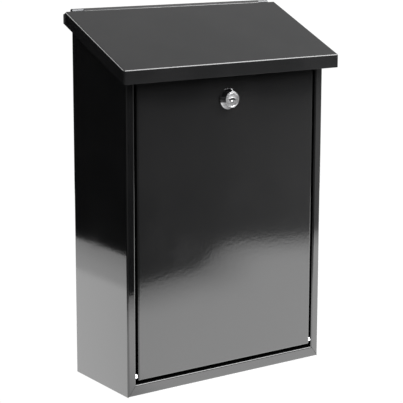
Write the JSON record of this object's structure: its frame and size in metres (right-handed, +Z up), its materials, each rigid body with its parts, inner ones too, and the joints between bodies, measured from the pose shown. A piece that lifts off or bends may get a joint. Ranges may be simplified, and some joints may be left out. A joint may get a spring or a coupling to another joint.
{
  "type": "wall mounted mailbox",
  "caption": "Wall mounted mailbox of folded sheet steel with a sloping lift-up lid, a drop-down front door and a cam lock.",
  "frame": {"origin": "middle of the four wall holes, on the back face that lies against the wall", "axes": "+Z up, +Y into the wall, the door and the lock face -Y, +X to the right of a person facing the door"},
  "size_m": [0.278, 0.122, 0.4007],
  "materials": {
    "black_powder_coat": "gloss",
    "zinc_plated_steel": "satin",
    "lock_chrome": "polished",
    "wafer_brass": "satin"
  },
  "bodies": {
    "casing": {"casing_wrap": "black_powder_coat", "bottom_pan": "black_powder_coat", "front_rail": "black_powder_coat", "hinge_strap_left": "zinc_plated_steel", "hinge_strap_right": "zinc_plated_steel", "lid_hinge_rod": "zinc_plated_steel", "pivot_rivet_left": "zinc_plated_steel", "pivot_rivet_right": "zinc_plated_steel", "pivot_retainer_left": "zinc_plated_steel", "pivot_retainer_right": "zinc_plated_steel"},
    "lid": {"lid_panel": "black_powder_coat"},
    "door": {"door_panel": "black_powder_coat", "lock_housing": "lock_chrome", "lock_washer": "zinc_plated_steel", "lock_nut": "zinc_plated_steel"},
    "lock_plug": {"lock_plug": "lock_chrome", "wafer_tumblers": "wafer_brass", "wafer_springs": "zinc_plated_steel", "lock_cam": "zinc_plated_steel", "cam_washer": "zinc_plated_steel", "cam_screw": "zinc_plated_steel"}
  },
  "joints": [
    {"name": "lid_hinge", "type": "hinge", "parent": "casing", "child": "lid", "pos_m": [0, -0.0031, 0.21834], "axis": [-1, 0, 0], "range_deg": [0, 110]},
    {"name": "door_hinge", "type": "hinge", "parent": "casing", "child": "door", "pos_m": [0, -0.1035, -0.1593], "axis": [1, 0, 0], "range_deg": [0, 120]},
    {"name": "lock_turn", "type": "hinge", "parent": "door", "child": "lock_plug", "pos_m": [0, -0.1, 0.1268], "axis": [0, -1, 0], "range_deg": [0, 90]}
  ]
}
